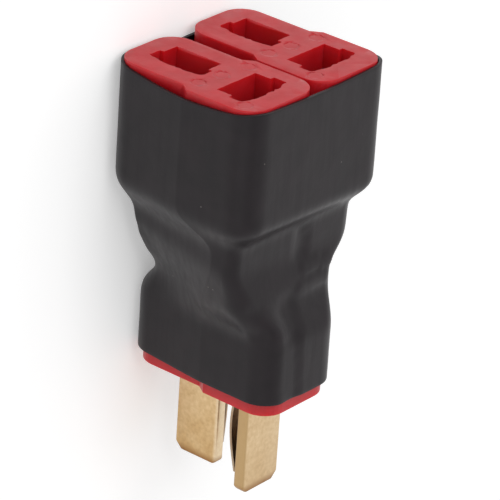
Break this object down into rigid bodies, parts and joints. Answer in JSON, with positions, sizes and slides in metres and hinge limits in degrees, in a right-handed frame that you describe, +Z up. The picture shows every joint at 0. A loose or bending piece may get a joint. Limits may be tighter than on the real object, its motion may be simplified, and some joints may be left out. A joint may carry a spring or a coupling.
{
  "type": "parallel battery adapter",
  "caption": "Parallel battery adapter: two red keyed sockets side by side above one bladed plug, soldered back to back inside a black shrunk sleeve.",
  "frame": {"origin": "on the surface that the adapter lies on, under the middle of its length and width", "axes": "+X from the sockets' faces to the blade tips, Y across the two sockets, +Z up, towards the cross pole (the bar of the T)"},
  "size_m": [0.0406, 0.0192, 0.0173],
  "materials": {
    "red_nylon": "moulded satin",
    "gold_plated_brass": "plated satin",
    "spring_steel": "rolled strip",
    "tinned_copper": "tinned",
    "solder": "satin",
    "black_polyolefin": "satin shrunk film"
  },
  "bodies": {
    "root": {"socket_housing_a": "red_nylon", "socket_housing_b": "red_nylon", "socket_plate_stem_a": "gold_plated_brass", "socket_plate_cross_a": "gold_plated_brass", "socket_plate_stem_b": "gold_plated_brass", "socket_plate_cross_b": "gold_plated_brass", "plug_housing": "red_nylon", "plug_blade_stem": "gold_plated_brass", "plug_blade_cross": "gold_plated_brass", "bow_spring_stem": "spring_steel", "bow_spring_cross": "spring_steel", "bus_strap_stem": "tinned_copper", "bus_strap_cross": "tinned_copper", "solder_stem_a": "solder", "solder_stem_b": "solder", "solder_cross_a": "solder", "solder_cross_b": "solder", "solder_plug_stem": "solder", "solder_plug_cross": "solder", "heat_shrink_sleeve": "black_polyolefin"}
  },
  "joints": []
}
